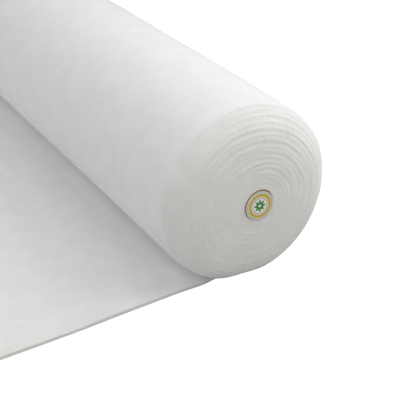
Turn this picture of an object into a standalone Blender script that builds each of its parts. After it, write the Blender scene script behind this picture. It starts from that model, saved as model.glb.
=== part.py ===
"""A roll of quilt batting: a soft white sheet wound on a cardboard tube, lying on its side.

The roll's axis runs along Y and the floor is z = 0, with the origin on the floor under the roll's middle.
The near end, at -Y, has slid out into a dome. The sheet leaves under the roll and lies flat towards -X.
"""

import math

import bmesh
import bpy

# The sheet, and the tube that it is wound on
SHEET_WIDTH = 1.5
LOOSE_LENGTH = 0.58
LOOSE_THICKNESS = 0.008
TURNS = 16
ROLL_RADIUS = 0.204
CORE_RADIUS = 0.033
CORE_WALL = 0.004
CORE_PROUD = 0.006
LABEL_RADIUS = 0.0314
LABEL_THICKNESS = 0.0006
GAP = 0.0003

# How the roll has settled on the floor, and how its near end has slid out
SETTLING = 0.0075
FLAT_SPOT_POWER = 44
LEAVING_ANGLE = math.radians(-99)
DOME_DEPTH = 0.050
DOME_POWER = 2.6
EDGE_ROUNDING = 0.007
EDGE_DRAWN_IN = 0.0025
SIDE_SWELL = 0.0012
LOOSE_SWELL = 0.0010
TIP_SLANT = 0.08

# Mesh steps
STEPS_PER_TURN = 60
LOOSE_STEPS = 18

# Sizes that follow from these
HALF_WIDTH = SHEET_WIDTH / 2
AXIS_HEIGHT = ROLL_RADIUS - SETTLING
BORE_RADIUS = CORE_RADIUS + GAP
WOUND_THICKNESS = (ROLL_RADIUS - BORE_RADIUS) / TURNS
LAST_STEP = TURNS * STEPS_PER_TURN
RIM_START = LAST_STEP - STEPS_PER_TURN
NEAR_CORE_END = -HALF_WIDTH - DOME_DEPTH - CORE_PROUD
FAR_CORE_END = HALF_WIDTH + CORE_PROUD

# The turns' edges, from the core outwards
TURN_EDGES = [
    # turn, stand_out, groove_depth
    (0, 0.0000, 0.0020),
    (1, 0.0010, 0.0020),
    (2, -0.0005, 0.0035),
    (3, 0.0010, 0.0020),
    (4, -0.0005, 0.0020),
    (5, 0.0015, 0.0035),
    (6, 0.0000, 0.0020),
    (7, -0.0010, 0.0025),
    (8, 0.0015, 0.0040),
    (9, -0.0005, 0.0020),
    (10, 0.0020, 0.0040),
    (11, -0.0005, 0.0020),
    (12, 0.0010, 0.0045),
    (13, -0.0005, 0.0020),
    (14, 0.0005, 0.0025),
    (15, 0.0000, 0.0020),
    (16, 0.0000, 0.0020),
]

# The outer turns' shift along the axis, by their way back from where the sheet leaves the roll
RIM_SHIFTS = [
    # degrees_back, shift
    (0, 0.011),
    (40, 0.008),
    (100, 0.001),
    (200, -0.001),
    (300, 0.001),
    (360, 0.002),
    (540, 0.000),
    (720, 0.000),
]

# The loose end's drift along the axis, by its distance from where it leaves the roll
LOOSE_DRIFTS = [
    # distance, drift
    (0.00, 0.000),
    (0.05, 0.002),
    (0.10, 0.000),
    (0.18, -0.008),
    (0.26, -0.017),
    (0.35, -0.028),
    (0.58, -0.048),
]

# The rows along the roll's side, and how far each is drawn in
SIDE_ROWS = [
    # along, drawn_in
    (0.016, 0.0006),
    (0.040, 0.0000),
    (0.120, 0.0004),
    (0.250, 0.0000),
    (0.410, 0.0008),
    (0.600, 0.0002),
    (0.780, 0.0007),
    (0.940, 0.0000),
    (1.100, 0.0009),
    (1.250, 0.0003),
    (1.400, 0.0005),
    (1.490, 0.0008),
    (1.500, 0.0060),
]


def read(table, place, column=1):
    """Read a column of a table at a place between its rows, on a smooth curve through them."""
    last = len(table) - 1
    number = next((n for n in range(last) if place <= table[n + 1][0]), last - 1)
    before, low = table[max(0, number - 1)], table[number]
    high, after = table[number + 1], table[min(last, number + 2)]
    span = high[0] - low[0]
    share = min(1.0, (place - low[0]) / span)
    slope_low = (high[column] - before[column]) / (high[0] - before[0])
    slope_high = (after[column] - low[column]) / (after[0] - low[0])
    eased = share * share * (3 - 2 * share)
    leaving = slope_low * span * share * (1 - share) ** 2
    arriving = slope_high * span * share * share * (share - 1)
    return low[column] + (high[column] - low[column]) * eased + leaving + arriving


def angle_at(step):
    """The winding's angle: back from where the sheet leaves, it runs under the roll, up at +X and over."""
    return LEAVING_ANGLE + 2 * math.pi * (LAST_STEP - step) / STEPS_PER_TURN


def radius_at(step):
    """The winding's outer radius, so many steps after its start on the tube."""
    return BORE_RADIUS + WOUND_THICKNESS * step / STEPS_PER_TURN


def share_at(radius):
    """How far a radius lies from the tube, 0, to the roll's side, 1."""
    return (radius - BORE_RADIUS) / (ROLL_RADIUS - BORE_RADIUS)


def section_point(radius, angle):
    """Place a point of the wound section, pressed flat where the roll stands on the floor."""
    below = max(0.0, -math.sin(angle))
    lift = SETTLING * share_at(radius) ** 3 * below ** FLAT_SPOT_POWER
    height = AXIS_HEIGHT + radius * math.sin(angle) + lift
    return radius * math.cos(angle), max(0.0, height)


def near_end(radius):
    """The near end's place along the axis: a dome, steepest at the rim and flattest at the tube."""
    return -HALF_WIDTH - DOME_DEPTH * (1 - share_at(radius) ** DOME_POWER)


def shift_at(step):
    """How far the turn at a step has slid along the axis."""
    return read(RIM_SHIFTS, 360 * (LAST_STEP - step) / STEPS_PER_TURN)


def crest_point(step):
    """The middle of the wound sheet's edge, which stands out between two grooves."""
    radius = radius_at(step) - WOUND_THICKNESS * min(1.0, step / STEPS_PER_TURN) / 2
    across, up = section_point(radius, angle_at(step))
    stand_out = read(TURN_EDGES, step / STEPS_PER_TURN)
    return across, near_end(radius) - stand_out + shift_at(step), up


def groove_point(step):
    """The groove outside a turn. The last turn has no groove: its edge is rounded onto the side."""
    rim_share = min(1.0, max(0.0, (step - RIM_START) / 6 + 1))
    radius = radius_at(step)
    across, up = section_point(radius - EDGE_DRAWN_IN * rim_share, angle_at(step))
    depth = read(TURN_EDGES, step / STEPS_PER_TURN, 2) * min(1.0, step / STEPS_PER_TURN)
    depth += (EDGE_ROUNDING - depth) * rim_share
    return across, near_end(radius) + depth + shift_at(step), up


def side_point(step, along, drawn_in):
    """A point of the roll's side, gently swollen and drawn in except where it stands on the floor."""
    angle = angle_at(step)
    off_floor = 1 - max(0.0, -math.sin(angle)) ** 8
    swell = SIDE_SWELL * math.sin(3 * angle + 5 * along)
    across, up = section_point(radius_at(step) + (swell - drawn_in) * off_floor, angle)
    return across, -HALF_WIDTH + along + shift_at(step) * (1 - along / SHEET_WIDTH), up


def loose_point(number, along, height_share):
    """A point of the loose end, on the floor or up its thickness."""
    distance = LOOSE_LENGTH * number / LOOSE_STEPS
    start = ROLL_RADIUS * math.cos(LEAVING_ANGLE)
    across = start - distance - TIP_SLANT * along * number / LOOSE_STEPS
    swell = LOOSE_SWELL * math.sin(11 * distance + 4 * along)
    thickness = LOOSE_THICKNESS + swell
    shift = shift_at(LAST_STEP) * (1 - along / SHEET_WIDTH) + read(LOOSE_DRIFTS, distance)
    return across, -HALF_WIDTH + along + shift, thickness * height_share


def add_face(mesh, *corners):
    """Add a face, leaving out a corner that is given twice."""
    mesh.faces.new(list(dict.fromkeys(corners)))


def bridge(mesh, first, second):
    """Join two rows of points with faces."""
    for place in range(len(first) - 1):
        add_face(mesh, first[place], first[place + 1], second[place + 1], second[place])


def add_near_end(mesh, bore):
    """Wind the sheet's edge out from the tube: a spiral of crests between grooves."""
    steps = range(1, LAST_STEP + 1)
    crests = [bore[0]] + [mesh.verts.new(crest_point(step)) for step in steps]
    grooves = [bore[0]] + [mesh.verts.new(groove_point(step)) for step in steps]
    inner = bore + grooves
    bridge(mesh, inner[: LAST_STEP + 1], crests)
    bridge(mesh, crests, grooves)
    return crests, grooves


def add_side(mesh, rim):
    """Loft the roll's side from its near rim to its far rim, and return the rows."""
    steps = range(RIM_START, LAST_STEP + 1)
    rows = [rim]
    for along, drawn_in in SIDE_ROWS:
        rows.append([mesh.verts.new(side_point(step, along, drawn_in)) for step in steps])
        bridge(mesh, rows[-2], rows[-1])
    return rows


def add_far_end(mesh, bore, rim):
    """Close the far end plainly, with one level face around the tube."""
    bridge(mesh, bore + bore[:1], rim)
    add_face(mesh, bore[0], rim[-1], rim[0])


def add_loose_end(mesh, rows, leaving_crest):
    """Lead the outer turn's free end off along the floor, to its cut edge."""
    numbers = range(1, LOOSE_STEPS + 1)
    places = [(0.003, 0.7)] + [(along, 1.0) for along, _ in SIDE_ROWS]
    tops = []
    bottoms = []
    for row, (along, top_share) in zip(rows, places):
        tops.append([row[0]] + [mesh.verts.new(loose_point(n, along, top_share)) for n in numbers])
        bottoms.append([row[-1]] + [mesh.verts.new(loose_point(n, along, 0.0)) for n in numbers])
    crest = [leaving_crest] + [mesh.verts.new(loose_point(n, 0.0, 0.35)) for n in numbers]
    for layer in (tops, bottoms):
        for first, second in zip(layer, layer[1:]):
            bridge(mesh, first, second)
    bridge(mesh, tops[0], crest)
    bridge(mesh, crest, bottoms[0])
    bridge(mesh, tops[-1], bottoms[-1])
    tip_top = [row[-1] for row in tops]
    tip_bottom = [row[-1] for row in bottoms]
    bridge(mesh, tip_top[1:], tip_bottom[1:])
    add_face(mesh, tip_top[0], crest[-1], tip_bottom[0], tip_bottom[1], tip_top[1])


def bore_ring(mesh, place):
    """A ring of points around the tube."""
    ring = []
    for step in range(STEPS_PER_TURN):
        across, up = section_point(BORE_RADIUS, angle_at(step))
        ring.append(mesh.verts.new((across, place, up)))
    return ring


def make_material(name, colour, roughness):
    """A plain matt material."""
    material = bpy.data.materials.new(name)
    material.use_nodes = True
    shader = material.node_tree.nodes["Principled BSDF"]
    shader.inputs["Base Color"].default_value = (*colour, 1)
    shader.inputs["Roughness"].default_value = roughness
    shader.inputs["Metallic"].default_value = 0.0
    return material


def make_batting(collection):
    """The wound sheet with its loose end, in one piece."""
    mesh = bmesh.new()
    near_bore = bore_ring(mesh, near_end(BORE_RADIUS))
    far_bore = bore_ring(mesh, HALF_WIDTH)
    bridge(mesh, near_bore + near_bore[:1], far_bore + far_bore[:1])
    crests, grooves = add_near_end(mesh, near_bore)
    rows = add_side(mesh, grooves[RIM_START:])
    add_far_end(mesh, far_bore, rows[-1])
    add_loose_end(mesh, rows, crests[-1])
    bmesh.ops.recalc_face_normals(mesh, faces=mesh.faces)
    data = bpy.data.meshes.new("batting")
    mesh.to_mesh(data)
    mesh.free()
    data.shade_smooth()
    data.set_sharp_from_angle(angle=math.radians(50))
    data.materials.append(make_material("batting", (0.86, 0.86, 0.84), 1.0))
    batting = bpy.data.objects.new("batting", data)
    collection.objects.link(batting)


def make_core_tube(collection, axis):
    """The cardboard tube, turned around its own Z axis, which lies along the roll."""
    length = FAR_CORE_END - NEAR_CORE_END
    inside = CORE_RADIUS - CORE_WALL
    profile = [(CORE_RADIUS, length), (CORE_RADIUS, 0), (inside, 0), (inside, length)]
    data = bpy.data.meshes.new("core_tube")
    corners = [(across, 0, up) for across, up in profile]
    data.from_pydata(corners, [(0, 1), (1, 2), (2, 3), (3, 0)], [])
    data.materials.append(make_material("cardboard", (0.34, 0.22, 0.12), 0.9))
    tube = bpy.data.objects.new("core_tube", data)
    turning = tube.modifiers.new("turning", "SCREW")
    turning.steps = STEPS_PER_TURN
    turning.render_steps = STEPS_PER_TURN
    turning.use_merge_vertices = True
    turning.merge_threshold = 0.00001
    tube.parent = axis
    tube.location = (0, NEAR_CORE_END, 0)
    tube.rotation_euler = (-math.pi / 2, 0, 0)
    collection.objects.link(tube)


def make_core_label(collection, axis):
    """The round label over the tube's near end."""
    bpy.ops.mesh.primitive_cylinder_add(vertices=48, radius=LABEL_RADIUS, depth=LABEL_THICKNESS)
    label = bpy.context.object
    label.name = "core_label"
    label.parent = axis
    label.location = (0, NEAR_CORE_END - GAP - LABEL_THICKNESS / 2, 0)
    label.rotation_euler = (math.pi / 2, 0, 0)
    label.data.materials.append(make_material("label_paper", (0.84, 0.84, 0.80), 0.6))
    for holder in list(label.users_collection):
        holder.objects.unlink(label)
    collection.objects.link(label)


def main():
    for thing in list(bpy.data.objects):
        bpy.data.objects.remove(thing, do_unlink=True)
    collection = bpy.data.collections.new("quilt_batting_roll")
    bpy.context.scene.collection.children.link(collection)
    axis = bpy.data.objects.new("roll_axis", None)
    axis.location = (0, 0, AXIS_HEIGHT)
    collection.objects.link(axis)
    make_batting(collection)
    make_core_tube(collection, axis)
    make_core_label(collection, axis)


main()
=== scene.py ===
"""The looks of a roll of quilt batting, lying on its side with a loose end on the floor.

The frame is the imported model's: the roll's axis runs along Y, the floor is z = 0, the near end is at -Y and
the loose end lies towards -X. Lengths are in metres. One long sheet is made flat, and Geometry Nodes wind it.
"""

import math

import bmesh
import bpy
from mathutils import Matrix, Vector


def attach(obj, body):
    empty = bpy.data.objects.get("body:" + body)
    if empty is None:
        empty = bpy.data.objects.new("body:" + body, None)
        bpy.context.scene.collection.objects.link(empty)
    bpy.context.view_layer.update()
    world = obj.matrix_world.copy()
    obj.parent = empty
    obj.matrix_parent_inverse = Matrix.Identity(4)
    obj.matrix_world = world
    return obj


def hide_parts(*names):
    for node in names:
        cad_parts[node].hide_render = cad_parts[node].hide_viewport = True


# The sheet and its winding, as in the part's source
SHEET_WIDTH = 1.5
HALF_WIDTH = SHEET_WIDTH / 2
TURNS = 16
ROLL_RADIUS = 0.204
BORE_RADIUS = 0.0333
AXIS_HEIGHT = 0.1965
SETTLING = 0.0075
FLAT_SPOT_POWER = 44
LEAVING_ANGLE = math.radians(-99)
LOOSE_LENGTH = 0.58
LOOSE_THICKNESS = 0.008
TIP_SLANT = 0.08
DOME_DEPTH = 0.050
DOME_POWER = 2.6

# The tube and its label, as in the part's source
TUBE_RADIUS = 0.033
TUBE_WALL = 0.004
NEAR_TUBE_END = -0.806
FAR_TUBE_END = 0.756
LABEL_RADIUS = 0.0314
LABEL_THICKNESS = 0.0006
LABEL_GAP = 0.0003

# The tube's spiral seam, and the label's print, whose radii are shares of the label's
SEAM_TWIST = 28.0
SEAM_WIDTH = 0.022
SEAM_DEPTH = 0.0004
STAR_POINTS = 8
STAR_VALLEY = 0.235
STAR_POINT = 0.215
STAR_HOLE = 0.10
STITCHES = 32
STITCH_SHARE = 0.62
STITCH_RING = (0.515, 0.565)
GOLD_RING = (0.64, 0.83)
GREEN_RING = (0.885, 0.93)
GOLD = (0.68, 0.42, 0.014, 1)
GREEN = (0.045, 0.27, 0.035, 1)
DARK_GREEN = (0.02, 0.05, 0.02, 1)

# Mesh steps
TUBE_STEPS = 60
TUBE_ROWS = 90
LABEL_STEPS = 96
WOUND_STEP = 0.0108
WOUND_SIDE_ROWS = 14
LOOSE_STEP = 0.0095
LOOSE_SIDE_ROWS = 70
MERGE_DISTANCE = 0.00001
SHARP_ANGLE = math.radians(50)

# The wound stretch ends at the split turn, and the loose end starts a little before it
SPLIT_TURN = 15.96
OVERLAP_TURNS = 0.01
FIRST_ROW_TURNS = 0.01
END_ROW_TURNS = 0.001

# The packing of the turns: the sheet's thickness in pitches, its unevenness, and the slack near the tube
PACKED_THICKNESS = 1.015
UNEVEN_HEIGHT = 0.0065
UNEVEN_SCALE = 15.0
UNEVEN_REACH = 0.30
SLACK_HEIGHT = 0.0018
SLACK_ANGLE = math.radians(55)
SLACK_TURNS = 2.6
SLACK_REACH = 0.12
OUTER_TURN_START = 1.12
OUTER_TURN_FULL = 0.98
FLOOR_SIDE_POWER = 8

# How far the outer turns are drawn in at the two ends, and where that starts
RIM_PULL = 0.008
RIM_PULL_REACH = 0.032
RIM_PULL_SHARE = 0.85
RIM_PULL_LEAN = 0.4
FAR_PULL = 0.0042
FAR_PULL_START = 1.478

# The two ends of the roll
RIM_ROUND_SHARE = 0.68
FACE_STAND_OUT = 0.003
HOLLOW_REACH = 0.02
HOLLOW_POWER = 1.6
FAR_SET_BACK = 0.0015
FAR_WANDER = 0.0012

# The loose end, laid down as it leaves the roll: the nip is the small rise where it leaves
LAYING_REACH = 0.07
NIP_HEIGHT = 0.0026
NIP_PEAK = 0.03
NIP_REACH = 0.12
LUMP_SHARE = 0.8

# Where loose fibres stand: the least lean of a face towards a side, and the bounds of each stretch
EDGE_LEAN = 0.35
FACE_LEAN = 0.6
SIDE_START = 0.1915
LOOSE_START = -0.06
LOOSE_TOP = 0.02
FIBRE_CLEARANCE = 0.0075

# Between these two places along the axis the sheet turns a little warmer and darker towards the near end:
# painted shade on the end face
SHADED_END_START = -0.725
SHADED_END_FULL = -0.790

TURN_EDGES = [
    # turn, stand_out: how far a turn's near edge stands out from the dome
    (0, 0.0008),
    (1, 0.0003),
    (2, -0.0002),
    (3, 0.0004),
    (4, -0.0001),
    (5, 0.0004),
    (6, 0.0000),
    (7, -0.0003),
    (8, 0.0004),
    (9, -0.0002),
    (10, 0.0005),
    (11, -0.0002),
    (12, 0.0003),
    (13, -0.0002),
    (14, 0.0002),
    (15, 0.0000),
    (16, 0.0000),
]

RIM_SHIFTS = [
    # turns_back, shift: how far the outer turns have slid along the axis
    (0.00, 0.011),
    (0.11, 0.008),
    (0.28, 0.001),
    (0.56, 0.000),
    (0.83, 0.000),
    (1.00, 0.000),
    (1.50, 0.000),
    (2.00, 0.000),
]

LOOSE_DRIFTS = [
    # distance, drift: how far the loose end has drifted along the axis
    (0.00, 0.000),
    (0.05, 0.002),
    (0.10, 0.000),
    (0.18, -0.008),
    (0.26, -0.017),
    (0.35, -0.028),
    (0.58, -0.048),
]

NEAR_EDGE = [
    # along, height: the soft cut edge, from the outer face round to the inner face
    (0.0060, 1.000),
    (0.0002, 1.000),
    (0.0000, 0.998),
    (0.0000, 0.960),
    (0.0000, 0.860),
    (0.0000, 0.740),
    (0.0000, 0.620),
    (0.0000, 0.500),
    (0.0000, 0.380),
    (0.0000, 0.260),
    (0.0000, 0.140),
    (0.0000, 0.040),
    (0.0000, 0.002),
    (0.0002, 0.000),
    (0.0060, 0.000),
]

TUBE_RIM = [
    # inwards, proud: the tube's cut rim, from its outside to its inside, with its paper layers
    (0.0000, -0.0300),
    (0.0000, -0.0005),
    (0.0002, -0.0001),
    (0.0006, 0.0000),
    (0.0012, -0.0001),
    (0.0014, -0.0003),
    (0.0016, -0.0001),
    (0.0024, 0.0000),
    (0.0026, -0.0003),
    (0.0028, -0.0001),
    (0.0036, 0.0000),
    (0.0039, -0.0002),
    (0.0040, -0.0006),
    (0.0040, -0.0300),
]

LABEL_ROWS = [
    # radius_share, depth: from the middle of the front, over the edge, to the middle of the back
    (0.000, 0.00012),
    (0.350, 0.00010),
    (0.700, 0.00004),
    (0.930, 0.00000),
    (0.985, 0.00003),
    (1.000, 0.00018),
    (1.000, 0.00048),
    (0.985, 0.00060),
    (0.500, 0.00060),
    (0.000, 0.00060),
]

CAMERA_PLACE = (-1.0152, -2.3702, 1.1692)
CAMERA_AZIMUTH = 29.32
CAMERA_DOWN = 27.28
CAMERA_LENS = 94.5
SENSOR_WIDTH = 36

FLOOR_SIZE = 14
FLOOR_PLACE = (0, 1.5, -0.0004)
FLOOR_TONE = 0.55
SURROUND_GLOW = 0.02

LIGHT_AIM = Vector((0, -0.4, 0.15))
LIGHT_DISTANCE = 2.6
LIGHT_SIZE = 1.5

STUDIO_LIGHTS = [
    # name, azimuth, elevation, power
    ("right_light", 90, 20, 21),
    ("right_high_light", 90, 50, 16),
    ("front_right_light", 135, 50, 20),
    ("front_low_light", 180, 20, 11),
    ("front_left_low_light", 225, 20, 8),
    ("left_light", 270, 50, 16),
    ("left_back_light", 315, 20, 13),
    ("top_light", 0, 89, 14),
]

# The rows of points next to each edge, by their distance from it
EDGE_ROWS = [0.0100, 0.0150, 0.0210, 0.0280, 0.0370, 0.0500]

TIP_ROWS = [
    # back, fullness: rows that round the sheet's cut tip
    (0.0034, 1.00),
    (0.0014, 0.86),
    (0.0004, 0.55),
    (0.0000, 0.00),
]

WINDING = {
    "Turns": TURNS,
    "Core Radius": BORE_RADIUS,
    "Roll Radius": ROLL_RADIUS,
    "Axis Height": AXIS_HEIGHT,
    "Settling": SETTLING,
    "Flat Spot Power": FLAT_SPOT_POWER,
    "Leaving Angle": LEAVING_ANGLE,
    "Sheet Width": SHEET_WIDTH,
    "Dome Depth": DOME_DEPTH,
    "Dome Power": DOME_POWER,
    "Loose Thickness": LOOSE_THICKNESS,
    "Side Swell": 0.0013,
    "Edge Waves": 0.0008,
    "Edge Hollow": 0.0006,
    "Rim Fall": 0.018,
}

FIBRES = {
    "Edge Density": 25000,
    "Side Density": 1500,
    "Fibre Length": 0.011,
    "Fibre Radius": 0.00009,
    "Axis Height": AXIS_HEIGHT,
}


class Value:
    """A number that comes out of a node, ready for sums."""

    def __init__(self, nodes, socket):
        self.nodes = nodes
        self.socket = socket

    def sum(self, operation, *others):
        return self.nodes.sum(operation, self, *others)

    def __add__(self, other):
        return self.sum("ADD", other)

    def __radd__(self, other):
        return self.nodes.sum("ADD", other, self)

    def __sub__(self, other):
        return self.sum("SUBTRACT", other)

    def __rsub__(self, other):
        return self.nodes.sum("SUBTRACT", other, self)

    def __mul__(self, other):
        return self.sum("MULTIPLY", other)

    def __rmul__(self, other):
        return self.nodes.sum("MULTIPLY", other, self)

    def __truediv__(self, other):
        return self.sum("DIVIDE", other)

    def __pow__(self, other):
        return self.sum("POWER", other)


class Nodes:
    """A node tree, with short ways to add nodes to it."""

    def __init__(self, tree):
        self.tree = tree

    def plug(self, socket, value):
        """Lead a value into a socket, or set the socket to it."""
        if isinstance(value, Value):
            value = value.socket
        if isinstance(value, bpy.types.NodeSocket):
            self.tree.links.new(value, socket)
        else:
            socket.default_value = value

    def add(self, kind, inputs=None, **settings):
        """Add a node, with its settings and its inputs by name or number."""
        node = self.tree.nodes.new(kind)
        for name, value in settings.items():
            setattr(node, name, value)
        for name, value in (inputs or {}).items():
            self.plug(node.inputs[name], value)
        return node

    def sum(self, operation, *values):
        node = self.add("ShaderNodeMath", dict(enumerate(values)), operation=operation)
        return Value(self, node.outputs[0])

    def ease(self, value, start, end, low=0.0, high=1.0):
        """A smooth step from low at start to high at end."""
        inputs = {"Value": value, "From Min": start, "From Max": end, "To Min": low, "To Max": high}
        node = self.add("ShaderNodeMapRange", inputs, interpolation_type="SMOOTHSTEP")
        return Value(self, node.outputs["Result"])

    def parts(self, vector):
        """A vector's three numbers."""
        node = self.add("ShaderNodeSeparateXYZ", {"Vector": vector})
        return [Value(self, node.outputs[axis]) for axis in "XYZ"]

    def vector(self, x, y, z):
        return self.add("ShaderNodeCombineXYZ", {"X": x, "Y": y, "Z": z}).outputs[0]

    def read(self, table, place):
        """Read a two-column table at a place, on a smooth curve through its rows."""
        places = [row[0] for row in table]
        levels = [row[1] for row in table]
        low, high = min(levels), max(levels)
        span = places[-1] - places[0]
        node = self.add("ShaderNodeFloatCurve")
        points = node.mapping.curves[0].points
        spots = [((at - places[0]) / span, (level - low) / (high - low)) for at, level in table]
        points[0].location = spots[0]
        points[1].location = spots[-1]
        for spot in spots[1:-1]:
            points.new(*spot)
        node.mapping.update()
        self.plug(node.inputs["Value"], (place - places[0]) / span)
        return Value(self, node.outputs["Value"]) * (high - low) + low

    def blend(self, first, second, share):
        """A colour between two others."""
        node = self.add("ShaderNodeMix", {"Factor": share}, data_type="RGBA")
        self.plug(node.inputs[6], first)
        self.plug(node.inputs[7], second)
        return node.outputs[2]

    def random(self, low, high, seed):
        """Random vectors between two corners."""
        node = self.add("FunctionNodeRandomValue", data_type="FLOAT_VECTOR")
        self.plug(node.inputs["Min"], low)
        self.plug(node.inputs["Max"], high)
        self.plug(node.inputs["Seed"], seed)
        return node.outputs[0]

    def noise(self, vector, scale, detail=2.0, **settings):
        """Smooth noise around zero, mostly from -1 to 1."""
        inputs = {"Vector": vector, "Scale": scale, "Detail": detail}
        node = self.add("ShaderNodeTexNoise", inputs, **settings)
        return (Value(self, node.outputs[0]) - 0.5) * 3


def geometry_tree(name, numbers):
    """A Geometry Nodes tree with named number inputs. Returns it, its geometry input and its numbers."""
    tree = bpy.data.node_groups.new(name, "GeometryNodeTree")
    tree.interface.new_socket("Geometry", in_out="INPUT", socket_type="NodeSocketGeometry")
    tree.interface.new_socket("Geometry", in_out="OUTPUT", socket_type="NodeSocketGeometry")
    for label in numbers:
        tree.interface.new_socket(label, in_out="INPUT", socket_type="NodeSocketFloat")
    nodes = Nodes(tree)
    start = nodes.add("NodeGroupInput")
    values = [Value(nodes, start.outputs[label]) for label in numbers]
    return nodes, start.outputs["Geometry"], values


def finish_tree(nodes, geometry, material):
    """End a tree: its instances are made real, and it gets its material."""
    real = nodes.add("GeometryNodeRealizeInstances", {"Geometry": geometry})
    dressed = nodes.add("GeometryNodeSetMaterial", {"Geometry": real.outputs[0], "Material": material})
    end = nodes.add("NodeGroupOutput")
    nodes.tree.links.new(dressed.outputs[0], end.inputs[0])
    return nodes.tree


def run_tree(name, mesh, tree, numbers):
    """Run a tree on a mesh, and return its result as a plain mesh object."""
    worker = bpy.data.objects.new(name + "_worker", mesh)
    bpy.context.scene.collection.objects.link(worker)
    modifier = worker.modifiers.new("shape", "NODES")
    modifier.node_group = tree
    for item in tree.interface.items_tree:
        if item.in_out == "INPUT" and item.name in numbers:
            modifier[item.identifier] = float(numbers[item.name])
    bpy.context.view_layer.update()
    ready = worker.evaluated_get(bpy.context.evaluated_depsgraph_get())
    result = bpy.data.meshes.new_from_object(ready)
    result.name = name
    bpy.data.objects.remove(worker, do_unlink=True)
    piece = bpy.data.objects.new(name, result)
    bpy.context.scene.collection.objects.link(piece)
    return piece


def side_rows(count):
    """Places along the sheet's width, closer together towards its two edges."""
    first = EDGE_ROWS[-1]
    reach = SHEET_WIDTH - 2 * first
    rows = [first + reach * (1 - math.cos(math.pi * n / count)) / 2 for n in range(1, count)]
    return [0.5 * row + 0.5 * (first + reach * n / count) for n, row in enumerate(rows, 1)]


def sheet_section(count):
    """The sheet's cut section: round the near edge, along the inner face, round the far edge and back."""
    rows = EDGE_ROWS + side_rows(count) + [SHEET_WIDTH - row for row in reversed(EDGE_ROWS)]
    far_edge = [(SHEET_WIDTH - along, height) for along, height in reversed(NEAR_EDGE)]
    return NEAR_EDGE + [(row, 0.0) for row in rows] + far_edge + [(row, 1.0) for row in reversed(rows)]


def wound_rows():
    """The rows of the wound stretch, by turn, at even steps along the sheet."""
    rows = [(0.0, 0.0), (FIRST_ROW_TURNS, 1.0)]
    pitch = (ROLL_RADIUS - BORE_RADIUS) / TURNS
    while rows[-1][0] < SPLIT_TURN:
        turn = rows[-1][0]
        rows.append((turn + WOUND_STEP / (math.tau * (BORE_RADIUS + pitch * turn)), 1.0))
    return rows[:-1] + [(SPLIT_TURN, 1.0), (SPLIT_TURN + END_ROW_TURNS, 0.0)]


def loose_rows():
    """The rows of the loose end, by turn, from under the roll to its tip."""
    around = math.tau * ROLL_RADIUS
    start = SPLIT_TURN - OVERLAP_TURNS
    last = TURNS + LOOSE_LENGTH / around
    count = round((last - start) * around / LOOSE_STEP)
    span = last - start - 2 * TIP_ROWS[0][0] / around
    rows = [(start + span * number / count, 1.0) for number in range(count + 1)]
    tip = [(last - back / around, fullness) for back, fullness in TIP_ROWS]
    return [(start - END_ROW_TURNS, 0.0)] + rows + tip


def flat_sheet(name, rows, section):
    """The sheet before it is wound.

    A point's three numbers are its turn, its place along the width and its share of the thickness.
    """
    points = []
    for turn, fullness in rows:
        points += [(turn, along, 0.5 + (height - 0.5) * fullness) for along, height in section]
    size = len(section)
    faces = []
    for row in range(len(rows) - 1):
        for column in range(size):
            here, after = row * size + column, row * size + (column + 1) % size
            faces.append((here, after, after + size, here + size))
    mesh = bpy.data.meshes.new(name)
    mesh.from_pydata(points, [], faces)
    layer = mesh.uv_layers.new(name="OFBake")
    across = [0, 1, 1, 0]
    down = [0, 0, 1, 1]
    spots = []
    for number in range(len(faces)):
        row, column = divmod(number, size)
        for corner in range(4):
            spots += [(row + down[corner]) / (len(rows) - 1), (column + across[corner]) / size]
    layer.uv.foreach_set("vector", spots)
    mesh.shade_smooth()
    return mesh


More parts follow.
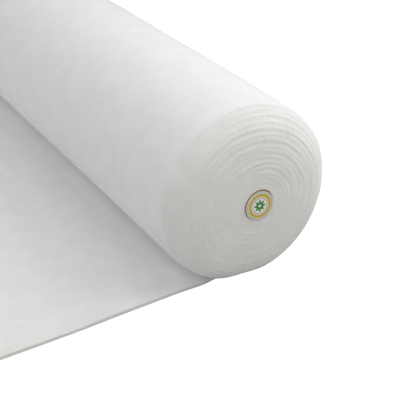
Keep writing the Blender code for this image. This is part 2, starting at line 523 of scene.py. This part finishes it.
def make_winding_tree(material):
    """Wind a flat sheet on the tube, slide its turns into a dome, settle it and lay its loose end down."""
    nodes, geometry, values = geometry_tree("wind the sheet", WINDING)
    turns, core, roll, axis, settling, power, leaving, width, *others = values
    dome, dome_power, loose_thickness, swell, waves, hollow, rim_fall = others
    turn, along, height = nodes.parts(nodes.add("GeometryNodeInputPosition").outputs[0])

    wound = turn.sum("MINIMUM", turns)
    distance = (turn - turns).sum("MAXIMUM", 0.0) * roll * math.tau
    laid = nodes.ease(distance, 0.0, LAYING_REACH)
    angle = leaving + (turns - wound) * math.tau
    pitch = (roll - core) / turns
    layer = pitch * wound.sum("MINIMUM", 1.0)
    radius = core + pitch * wound - layer * (1 - height) * PACKED_THICKNESS
    sine, cosine = angle.sum("SINE"), angle.sum("COSINE")
    below = (sine * -1).sum("MAXIMUM", 0.0)
    off_floor = 1 - below ** FLOOR_SIDE_POWER

    near = nodes.ease(along, 0.0, UNEVEN_REACH, 1.0, 0.0)
    spot = nodes.vector(cosine * radius, 0.0, sine * radius)
    share = (radius - core) / (roll - core)
    unevenness = nodes.noise(spot, UNEVEN_SCALE, 1.0) * share * (1 - share) * off_floor * near
    unevenness = unevenness * UNEVEN_HEIGHT
    slack = (angle - SLACK_ANGLE).sum("COSINE").sum("MAXIMUM", 0.0) ** 1.5
    slack = slack * nodes.ease(wound, 0.0, SLACK_TURNS, SLACK_HEIGHT, 0.0)
    slack = slack * nodes.ease(along, 0.0, SLACK_REACH, 1.0, 0.0)
    outermost = nodes.ease(turn, turns - OUTER_TURN_START, turns - OUTER_TURN_FULL)
    place = nodes.vector(cosine * roll, along, sine * roll)
    swelling = (nodes.noise(place, 3.2, 1.0) + nodes.noise(place, 11.0, 1.0) * 0.35) * swell
    near_pull = (1 - along / RIM_PULL_REACH).sum("MAXIMUM", 0.0) ** 2
    near_pull = near_pull * (1 - cosine * RIM_PULL_LEAN) * RIM_PULL
    near_pull = near_pull * ((share - RIM_PULL_SHARE) / (1 - RIM_PULL_SHARE)).sum("MAXIMUM", 0.0) ** 2
    far_pull = nodes.ease(along, FAR_PULL_START, SHEET_WIDTH, 0.0, FAR_PULL)
    outside = outermost * height * (swelling - far_pull) - near_pull
    radius = radius + unevenness + slack + outside * off_floor

    edge_share = (radius - core) / (roll - core)
    lift = settling * edge_share ** 3 * below ** power
    pressed = (axis + radius * sine + lift).sum("MAXIMUM", 0.0)
    flat_place = nodes.vector(distance, along, 0.0)
    lumps = nodes.noise(flat_place, 6.0, 1.0) + nodes.noise(flat_place, 17.0, 1.0) * 0.4
    lumps = lumps * swell * LUMP_SHARE
    nip = nodes.ease(distance, 0.0, NIP_PEAK) * nodes.ease(distance, NIP_PEAK, NIP_REACH, NIP_HEIGHT, 0.0)
    up = pressed * (1 - laid) + (1 - height) * ((loose_thickness + lumps) * laid + nip)
    across = radius * cosine - distance - along * distance * (TIP_SLANT / LOOSE_LENGTH)

    dome_out = dome * (1 - edge_share ** dome_power) * (1 - laid)
    spiral = (wound + height - 1).sum("MAXIMUM", 0.0)
    stand_out = nodes.read(TURN_EDGES, spiral)
    shift = nodes.read(RIM_SHIFTS, (turns - wound).sum("MINIMUM", 2.0))
    wave_place = nodes.vector(cosine * 1.3, spiral * 0.85, sine * 1.3)
    wander = nodes.noise(wave_place, 1.6, 2.0) * waves * (1 - laid)
    sunk = (height * (1 - height) * 4) ** HOLLOW_POWER * hollow
    sunk = sunk * nodes.ease(along, 0.0, HOLLOW_REACH, 1.0, 0.0)
    sunk = sunk * (nodes.noise(nodes.vector(cosine * 2.4, wound * 1.7, sine * 2.4), 1.2, 2.0) + 1.0)
    rounded = ((edge_share - RIM_ROUND_SHARE) / (1 - RIM_ROUND_SHARE)).sum("MAXIMUM", 0.0) ** 2
    rounded = (rounded * rim_fall - FACE_STAND_OUT) * (1 - laid)
    near_edge = (dome_out + stand_out + wander) * -1 + sunk + rounded + shift - HALF_WIDTH
    far_wander = nodes.noise(nodes.vector(cosine, wound * 0.9 + 7.0, sine), 1.5, 1.0) * FAR_WANDER
    far_edge = HALF_WIDTH - FAR_SET_BACK + far_wander
    drift = nodes.read(LOOSE_DRIFTS, distance)
    out = near_edge + along / width * (far_edge - near_edge) + drift

    position = nodes.vector(across, out, up)
    placed = nodes.add("GeometryNodeSetPosition", {"Geometry": geometry, "Position": position})
    closing = {"Geometry": placed.outputs[0], "Distance": MERGE_DISTANCE}
    closed = nodes.add("GeometryNodeMergeByDistance", closing)
    return finish_tree(nodes, closed.outputs[0], material)


def plain_material(name, colour, roughness):
    """A material of one colour. Returns it, its nodes and its shader."""
    material = bpy.data.materials.new(name)
    material.use_nodes = True
    nodes = Nodes(material.node_tree)
    shader = material.node_tree.nodes["Principled BSDF"]
    nodes.plug(shader.inputs["Base Color"], (*colour, 1))
    nodes.plug(shader.inputs["Roughness"], roughness)
    return material, nodes, shader


def batting_material():
    """Soft white fibres: matt, slightly cloudy, with painted shade at the near end, a little warmer and
    darker there.
    """
    material, nodes, shader = plain_material("batting fibre", (0.84, 0.84, 0.83), 1.0)
    place = nodes.add("ShaderNodeTexCoord").outputs["Object"]
    clouds = nodes.noise(place, 22.0, 3.0)
    strands = nodes.noise(place, 260.0, 3.0, noise_type="RIDGED_MULTIFRACTAL")
    tone = nodes.ease(clouds + strands * 0.2, -1.2, 1.2)
    outside = nodes.blend((0.812, 0.815, 0.812, 1), (0.862, 0.866, 0.866, 1), tone)
    # The inside colours are painted shade: they make the near end face warmer and a little darker.
    inside = nodes.blend((0.806, 0.796, 0.764, 1), (0.856, 0.848, 0.820, 1), tone)
    painted_shade_share = nodes.ease(nodes.parts(place)[1], SHADED_END_START, SHADED_END_FULL)
    nodes.plug(shader.inputs["Base Color"], nodes.blend(outside, inside, painted_shade_share))
    shader.inputs["Specular IOR Level"].default_value = 0.15
    shader.inputs["Sheen Weight"].default_value = 0.25
    shader.inputs["Sheen Roughness"].default_value = 0.6
    add_bump(nodes, shader, strands * 0.4 + nodes.noise(place, 90.0, 2.0), 0.0006, 0.5)
    return material


def turned(name, rows, angles, closed):
    """Turn rows of (radius, along, twist) round the roll's axis. A row's twist slides it round."""
    points = []
    for angle in angles:
        for radius, along, twist in rows:
            around = angle + twist
            points.append((radius * math.cos(around), along, AXIS_HEIGHT + radius * math.sin(around)))
    size = len(rows)
    faces = []
    for column in range(len(angles)):
        after = (column + 1) % len(angles)
        for row in range(size if closed else size - 1):
            below = (row + 1) % size
            here, there = column * size, after * size
            faces.append((here + row, here + below, there + below, there + row))
    mesh = bpy.data.meshes.new(name)
    mesh.from_pydata(points, [], faces)
    shape = bmesh.new()
    shape.from_mesh(mesh)
    bmesh.ops.remove_doubles(shape, verts=shape.verts, dist=MERGE_DISTANCE)
    bmesh.ops.recalc_face_normals(shape, faces=shape.faces)
    shape.to_mesh(mesh)
    shape.free()
    mesh.shade_smooth()
    mesh.set_sharp_from_angle(angle=SHARP_ANGLE)
    piece = bpy.data.objects.new(name, mesh)
    bpy.context.scene.collection.objects.link(piece)
    return piece


def make_tube():
    """The cardboard tube: paper wound in a spiral, with a seam, and cut straight at both ends."""
    inside = TUBE_RADIUS - TUBE_WALL
    near = [(TUBE_RADIUS - inwards, NEAR_TUBE_END - proud) for inwards, proud in TUBE_RIM]
    far = [(TUBE_RADIUS - inwards, FAR_TUBE_END + proud) for inwards, proud in reversed(TUBE_RIM)]
    start, end = near[-1][1], far[0][1]
    between = [start + (end - start) * number / TUBE_ROWS for number in range(1, TUBE_ROWS)]
    profile = near + [(inside, along) for along in between] + far
    profile += [(TUBE_RADIUS, along) for along in reversed(between)]
    rows = [(radius, along, (along - NEAR_TUBE_END) * SEAM_TWIST) for radius, along in profile]
    steps = [math.tau * number / TUBE_STEPS for number in range(1, TUBE_STEPS)]
    angles = [-SEAM_WIDTH, 0.0, SEAM_WIDTH] + steps
    tube = turned("cardboard_tube", rows, angles, closed=True)
    wall_middle = inside + TUBE_WALL / 2
    for vertex in tube.data.vertices:
        across, up = vertex.co.x, vertex.co.z - AXIS_HEIGHT
        turn = math.atan2(up, across) - (vertex.co.y - NEAR_TUBE_END) * SEAM_TWIST
        if abs(math.remainder(turn, math.tau)) < SEAM_WIDTH / 2:
            depth = math.copysign(SEAM_DEPTH, wall_middle - math.hypot(across, up))
            deeper = 1 + depth / TUBE_RADIUS
            vertex.co.x = across * deeper
            vertex.co.z = AXIS_HEIGHT + up * deeper
    tube.data.materials.append(cardboard_material())
    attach(tube, "root")
    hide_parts("core_tube")


def make_label():
    """The round paper label, pressed onto the tube's near end, its middle a little sunk."""
    front = NEAR_TUBE_END - LABEL_GAP - LABEL_THICKNESS
    rows = [(LABEL_RADIUS * share, front + depth, 0.0) for share, depth in LABEL_ROWS]
    angles = [math.tau * number / LABEL_STEPS for number in range(LABEL_STEPS)]
    label = turned("paper_label", rows, angles, closed=False)
    label.data.materials.append(label_material())
    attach(label, "root")
    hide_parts("core_label")


def cardboard_material():
    """Brown board, blotched darker and lighter, with short fibres."""
    material, nodes, shader = plain_material("brown board", (0.30, 0.18, 0.09), 0.85)
    place = nodes.add("ShaderNodeTexCoord").outputs["Object"]
    flecks = nodes.noise(place, 900.0, 3.0)
    clouds = nodes.noise(place, 60.0, 2.0)
    tone = nodes.ease(flecks + clouds * 0.6, -1.4, 1.4)
    paint(nodes, shader, tone, (0.30, 0.175, 0.085), (0.52, 0.34, 0.19))
    add_bump(nodes, shader, flecks, 0.0002, 0.4)
    return material


def label_material():
    """White paper, printed with a gold ring, a green patchwork star and a ring of dark stitches."""
    material, nodes, shader = plain_material("printed paper", (0.85, 0.85, 0.82), 0.5)
    place = nodes.add("ShaderNodeTexCoord").outputs["Object"]
    across, _, height = nodes.parts(place)
    up = height - AXIS_HEIGHT
    radius = (across * across + up * up) ** 0.5 / LABEL_RADIUS
    angle = up.sum("ARCTAN2", across)
    points = (angle * (STAR_POINTS / math.tau)).sum("FRACT")
    point = (points - 0.5).sum("ABSOLUTE") * 2
    star = radius.sum("LESS_THAN", STAR_VALLEY + STAR_POINT * point) - radius.sum("LESS_THAN", STAR_HOLE)
    stitches = (angle * (STITCHES / math.tau)).sum("FRACT").sum("LESS_THAN", STITCH_SHARE)
    stitch_ring = stitches * ring(radius, STITCH_RING)
    gold_ring = ring(radius, GOLD_RING)
    green_ring = ring(radius, GREEN_RING)
    speck = nodes.ease(nodes.noise(place, 1500.0, 2.0), -1.0, 1.0, 0.96, 1.0)
    colour = nodes.blend((0.86, 0.86, 0.82, 1), GOLD, gold_ring)
    colour = nodes.blend(colour, GREEN, star + green_ring)
    colour = nodes.blend(colour, DARK_GREEN, stitch_ring)
    colour = nodes.blend((0, 0, 0, 1), colour, speck)
    nodes.plug(shader.inputs["Base Color"], colour)
    add_bump(nodes, shader, nodes.noise(place, 1200.0, 2.0), 0.00005, 0.3)
    return material


def ring(radius, band):
    """One between a band's inner and outer radius, and zero elsewhere."""
    inner, outer = band
    return radius.sum("GREATER_THAN", inner) * radius.sum("LESS_THAN", outer)


def paint(nodes, shader, tone, dark, light):
    """Colour a material between a dark and a light tone."""
    nodes.plug(shader.inputs["Base Color"], nodes.blend((*dark, 1), (*light, 1), tone))


def add_bump(nodes, shader, height, distance, strength):
    """Give a material a fine relief."""
    bump = nodes.add("ShaderNodeBump", {"Height": height, "Distance": distance, "Strength": strength})
    nodes.plug(shader.inputs["Normal"], bump.outputs[0])


def make_fibre_tree(material):
    """Strew short curved fibres over the faces that show."""
    nodes, geometry, values = geometry_tree("loose fibres", [*FIBRES, "Seed"])
    edge_density, side_density, length, thickness, axis, seed = values
    across, _, height = nodes.parts(nodes.add("GeometryNodeInputPosition").outputs[0])
    normal = nodes.add("GeometryNodeInputNormal").outputs[0]
    normal_across, normal_along, normal_up = nodes.parts(normal)
    on_edge = normal_along.sum("ABSOLUTE").sum("GREATER_THAN", EDGE_LEAN)
    reach = (across * across + (height - axis) * (height - axis)) ** 0.5
    outwards = (across * normal_across + (height - axis) * normal_up) / reach
    on_side = outwards.sum("GREATER_THAN", FACE_LEAN) * reach.sum("GREATER_THAN", SIDE_START)
    on_loose = across.sum("LESS_THAN", LOOSE_START) * normal_up.sum("GREATER_THAN", FACE_LEAN)
    on_loose = on_loose * height.sum("LESS_THAN", LOOSE_TOP)
    off_floor = height.sum("GREATER_THAN", FIBRE_CLEARANCE)
    open_face = (on_side + on_loose).sum("MINIMUM", 1.0) * (1 - on_edge)
    density = (on_edge * edge_density + open_face * side_density) * off_floor
    strewn = nodes.add("GeometryNodeDistributePointsOnFaces", {"Mesh": geometry, "Density": density})
    nodes.plug(strewn.inputs["Seed"], seed)

    bend = nodes.add("GeometryNodeCurveQuadraticBezier")
    nodes.plug(bend.inputs["Resolution"], 3)
    nodes.plug(bend.inputs["Start"], nodes.vector(length * -0.5, 0.0, -0.0003))
    nodes.plug(bend.inputs["Middle"], nodes.vector(length * 0.1, length * 0.35, length * 0.22))
    nodes.plug(bend.inputs["End"], nodes.vector(length * 0.5, 0.0, 0.0001))
    ring = nodes.add("GeometryNodeCurvePrimitiveCircle", {"Resolution": 3, "Radius": thickness})
    hair_inputs = {"Curve": bend.outputs[0], "Profile Curve": ring.outputs[0], "Fill Caps": True}
    hair = nodes.add("GeometryNodeCurveToMesh", hair_inputs)

    spin = nodes.random((-0.25, -0.25, 0.0), (0.25, 0.25, math.tau), seed + 1)
    turned_by = nodes.add("FunctionNodeRotateRotation", {"Rotation": strewn.outputs["Rotation"]})
    turned_by.rotation_space = "LOCAL"
    nodes.plug(turned_by.inputs["Rotate By"], spin)
    size = nodes.random((0.45, 0.45, 0.3), (1.3, 1.3, 1.2), seed + 2)
    placed = nodes.add("GeometryNodeInstanceOnPoints", {"Points": strewn.outputs["Points"]})
    nodes.plug(placed.inputs["Instance"], hair.outputs[0])
    nodes.plug(placed.inputs["Rotation"], turned_by.outputs[0])
    nodes.plug(placed.inputs["Scale"], size)
    return finish_tree(nodes, placed.outputs[0], material)


def make_fibres(wound, loose):
    """Loose fibres that stand out from the sheet's cut edges and faces."""
    material = fibre_material()
    tree = make_fibre_tree(material)
    for name, source, seed in (("roll_fibres", wound, 3), ("loose_end_fibres", loose, 8)):
        fibres = run_tree(name, source.data, tree, {**FIBRES, "Seed": seed})
        fibres.data.shade_smooth()
        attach(fibres, "root")


def fibre_material():
    """Fine white fibre, each a little lighter or darker."""
    material, nodes, shader = plain_material("loose fibre", (0.86, 0.86, 0.85), 0.8)
    place = nodes.add("ShaderNodeTexCoord").outputs["Object"]
    tone = nodes.ease(nodes.noise(place, 70.0, 1.0), -1, 1)
    paint(nodes, shader, tone, (0.82, 0.82, 0.80), (0.89, 0.89, 0.88))
    shader.inputs["Specular IOR Level"].default_value = 0.2
    return material


def make_batting():
    """The wound stretch of the sheet, and its loose end."""
    material = batting_material()
    tree = make_winding_tree(material)
    wound_sheet = flat_sheet("wound", wound_rows(), sheet_section(WOUND_SIDE_ROWS))
    wound = run_tree("wound_batting", wound_sheet, tree, WINDING)
    loose_sheet = flat_sheet("loose", loose_rows(), sheet_section(LOOSE_SIDE_ROWS))
    loose = run_tree("loose_end", loose_sheet, tree, WINDING)
    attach(wound, "root")
    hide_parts("batting")
    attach(loose, "root")
    return wound, loose


def make_studio():
    """A floor and a surround that the camera sees as white, and soft lights around the roll."""
    bpy.ops.mesh.primitive_plane_add(size=FLOOR_SIZE, location=FLOOR_PLACE)
    floor = bpy.context.object
    floor.name = "studio_floor"
    material, nodes, shader = plain_material("studio floor", (FLOOR_TONE, FLOOR_TONE, FLOOR_TONE), 0.9)
    shader.inputs["Specular IOR Level"].default_value = 0.0
    shader.inputs["Emission Color"].default_value = (1, 1, 1, 1)
    seen = nodes.add("ShaderNodeLightPath").outputs["Is Camera Ray"]
    nodes.plug(shader.inputs["Emission Strength"], seen)
    floor.data.materials.append(material)

    world = bpy.data.worlds.new("studio")
    world.use_nodes = True
    nodes = Nodes(world.node_tree)
    seen = nodes.add("ShaderNodeLightPath").outputs["Is Camera Ray"]
    surround = world.node_tree.nodes["Background"]
    nodes.plug(surround.inputs["Color"], (1, 1, 1, 1))
    nodes.plug(surround.inputs["Strength"], Value(nodes, seen) + SURROUND_GLOW)
    bpy.context.scene.world = world

    for name, azimuth, elevation, power in STUDIO_LIGHTS:
        add_area_light(name, azimuth, elevation, power)


def direction_to(azimuth, elevation):
    """The direction towards a place in the sky: azimuth 0 is +Y, and 90 is +X."""
    turn, tilt = math.radians(azimuth), math.radians(elevation)
    return Vector((math.sin(turn) * math.cos(tilt), math.cos(turn) * math.cos(tilt), math.sin(tilt)))


def add_area_light(name, azimuth, elevation, power):
    """A large soft light, aimed at the roll."""
    data = bpy.data.lights.new(name, "AREA")
    data.size = LIGHT_SIZE
    data.energy = power
    towards = direction_to(azimuth, elevation)
    light = bpy.data.objects.new(name, data)
    light.location = LIGHT_AIM + towards * LIGHT_DISTANCE
    light.rotation_euler = (-towards).to_track_quat("-Z", "Y").to_euler()
    bpy.context.scene.collection.objects.link(light)


def make_camera():
    """The photograph's camera, looking along the roll from its near end."""
    data = bpy.data.cameras.new("camera")
    data.lens = CAMERA_LENS
    data.sensor_width = SENSOR_WIDTH
    camera = bpy.data.objects.new("camera", data)
    camera.location = CAMERA_PLACE
    view = direction_to(CAMERA_AZIMUTH, -CAMERA_DOWN)
    camera.rotation_euler = view.to_track_quat("-Z", "Y").to_euler()
    bpy.context.scene.collection.objects.link(camera)
    bpy.context.scene.camera = camera


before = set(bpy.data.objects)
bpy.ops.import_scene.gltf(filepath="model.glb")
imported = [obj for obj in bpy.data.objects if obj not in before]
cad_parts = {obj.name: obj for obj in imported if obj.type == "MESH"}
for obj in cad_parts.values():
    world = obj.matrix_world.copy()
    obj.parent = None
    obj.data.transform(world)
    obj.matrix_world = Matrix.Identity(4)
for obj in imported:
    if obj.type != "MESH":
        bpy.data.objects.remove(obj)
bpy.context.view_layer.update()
make_camera()
make_studio()
bpy.context.scene.view_settings.view_transform = "Standard"
wound_batting, loose_end = make_batting()
make_fibres(wound_batting, loose_end)
make_tube()
make_label()
